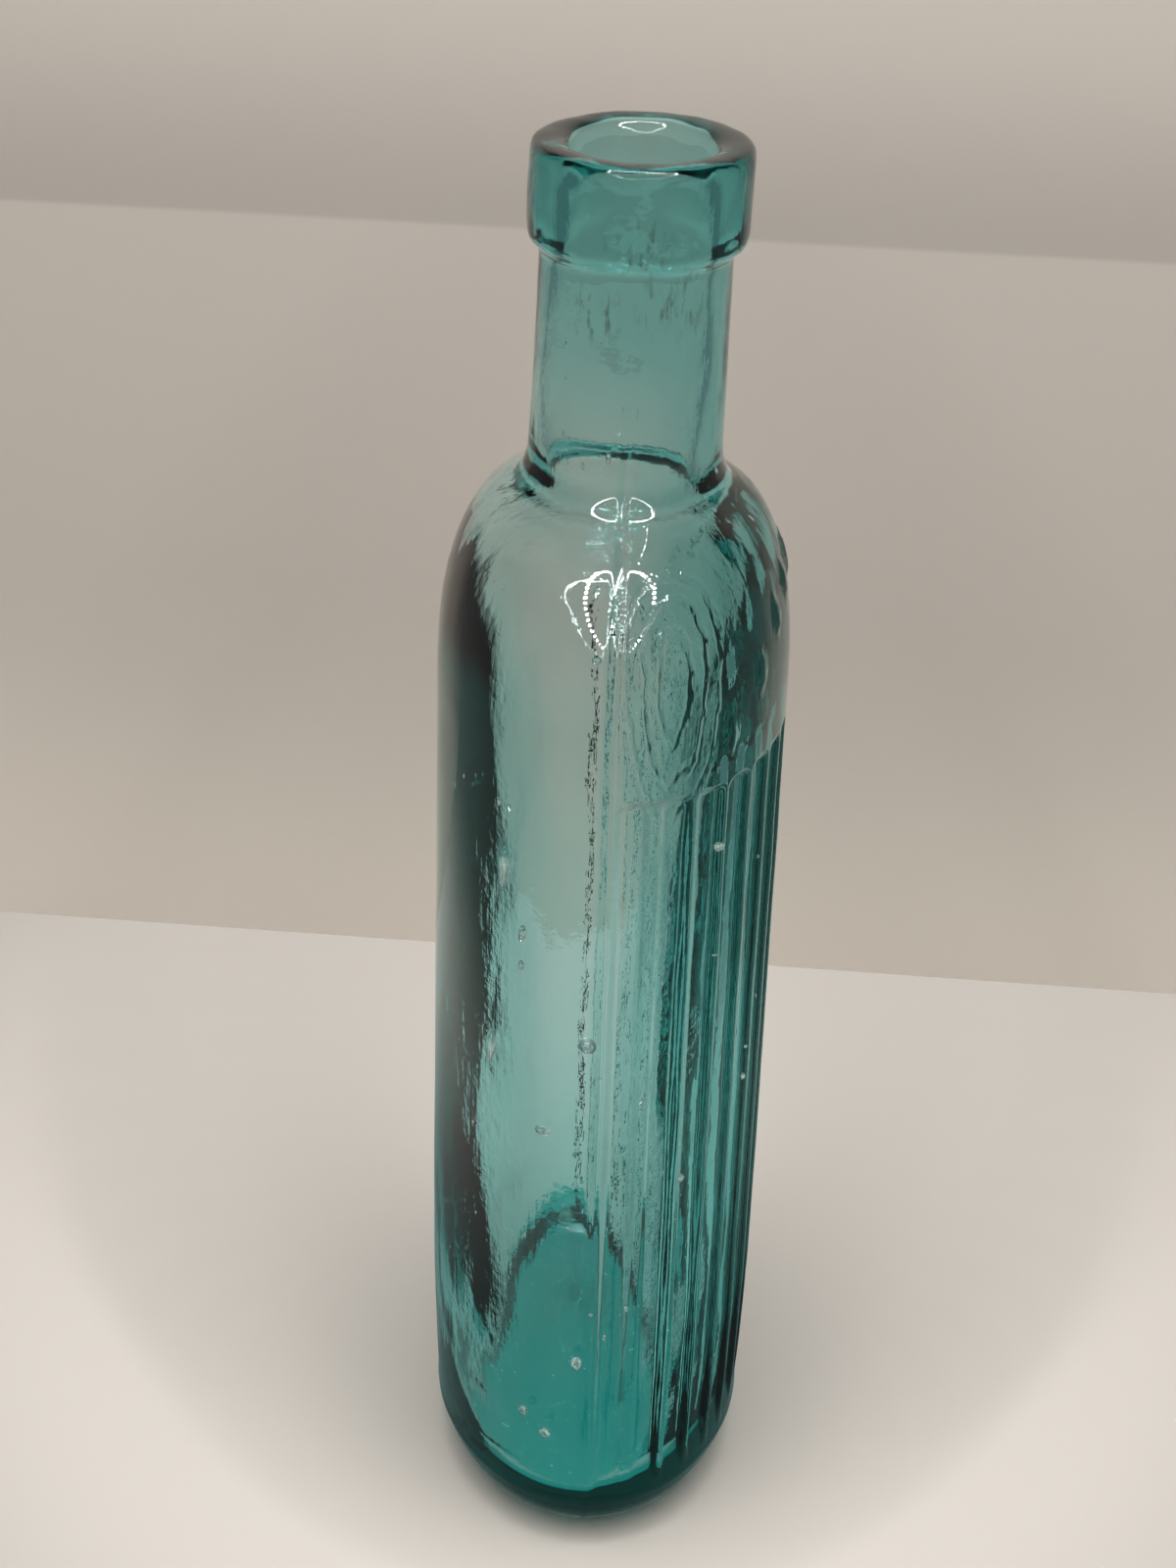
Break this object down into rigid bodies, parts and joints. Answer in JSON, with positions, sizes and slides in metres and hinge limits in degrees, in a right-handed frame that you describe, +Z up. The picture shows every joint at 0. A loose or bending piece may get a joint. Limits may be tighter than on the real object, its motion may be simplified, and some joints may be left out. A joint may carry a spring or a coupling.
{
  "type": "poison bottle",
  "caption": "Flat oval glass poison bottle with upright finger flutes down its front half, rounded shoulders, a round neck and a thick laid-on lip round an open mouth.",
  "frame": {"origin": "middle of the resting face under the base", "axes": "+Z up along the body to the mouth, -Y out of the fluted front, X across the two narrow sides"},
  "size_m": [0.067, 0.0476, 0.2],
  "materials": {
    "body_glass": "glossy",
    "lip_glass": "glossy"
  },
  "bodies": {
    "root": {"blown_body": "body_glass", "applied_lip": "lip_glass"}
  },
  "joints": []
}
